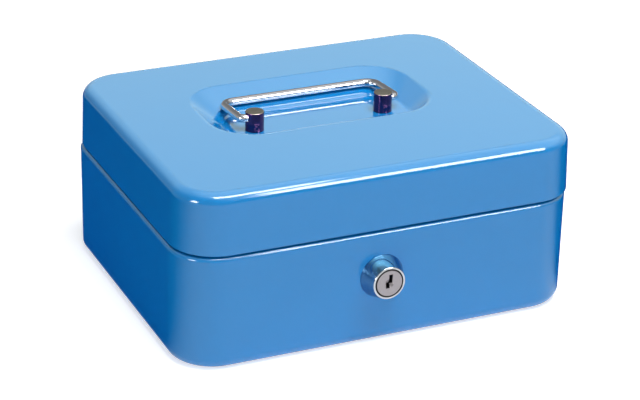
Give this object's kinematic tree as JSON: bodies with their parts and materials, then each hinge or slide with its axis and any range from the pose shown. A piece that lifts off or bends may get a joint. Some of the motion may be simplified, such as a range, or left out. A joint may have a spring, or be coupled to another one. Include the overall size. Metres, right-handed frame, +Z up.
{
  "type": "portable strongbox",
  "caption": "Portable steel strongbox with a hinged lid, folding wire handle in a pressed recess, front cam lock and lift-out tray.",
  "frame": {"origin": "centre of the base's flat underside", "axes": "+X to the box's right as seen from the lock, +Y to the hinge, +Z up; the lid is shut"},
  "size_m": [0.2008, 0.1742, 0.0886],
  "materials": {
    "blue_paint": "gloss",
    "chrome": "polished",
    "nickel": "satin",
    "zinc": "bright zinc plate",
    "brass": "plain",
    "tray_plastic": "fine matt grain"
  },
  "bodies": {
    "base": {"base_shell": "blue_paint", "lock_housing": "chrome", "lock_washer": "zinc", "lock_nut": "zinc", "hinge_base_leaf": "blue_paint", "hinge_base_rivets": "blue_paint", "hinge_pin": "zinc"},
    "lid": {"lid_shell": "blue_paint", "handle_post_left": "chrome", "handle_post_right": "chrome", "post_screws": "zinc", "post_washers": "zinc", "lid_catch": "zinc", "hinge_lid_leaf": "blue_paint", "hinge_lid_rivets": "blue_paint"},
    "handle": {"handle_bail": "chrome"},
    "lock_plug": {"lock_plug": "nickel", "lock_wafers": "brass", "wafer_springs": "zinc", "lock_cam": "zinc", "cam_washer": "zinc", "cam_screw": "zinc"},
    "tray": {"coin_tray": "tray_plastic", "row_dividers": "tray_plastic", "note_divider": "tray_plastic", "cup_dividers": "tray_plastic"}
  },
  "joints": [
    {"name": "lid_hinge", "type": "hinge", "parent": "base", "child": "lid", "pos_m": [0, 0.0822, 0.0565], "axis": [-1, 0, 0], "range_deg": [0, 110]},
    {"name": "handle_swing", "type": "hinge", "parent": "lid", "child": "handle", "pos_m": [0, 0.0003, 0.0855], "axis": [1, 0, 0], "range_deg": [0, 177]},
    {"name": "key_turn", "type": "hinge", "parent": "base", "child": "lock_plug", "pos_m": [-0.0034, -0.0884, 0.0336], "axis": [0, 1, 0], "range_deg": [0, 90]},
    {"name": "tray_lift", "type": "slide", "parent": "base", "child": "tray", "axis": [0, 0, 1], "range_m": [0, 0.0675]}
  ],
  "couplings": [
    {"joint": "tray_lift", "follows": "lid_hinge", "m_per_rad": 0.035}
  ]
}
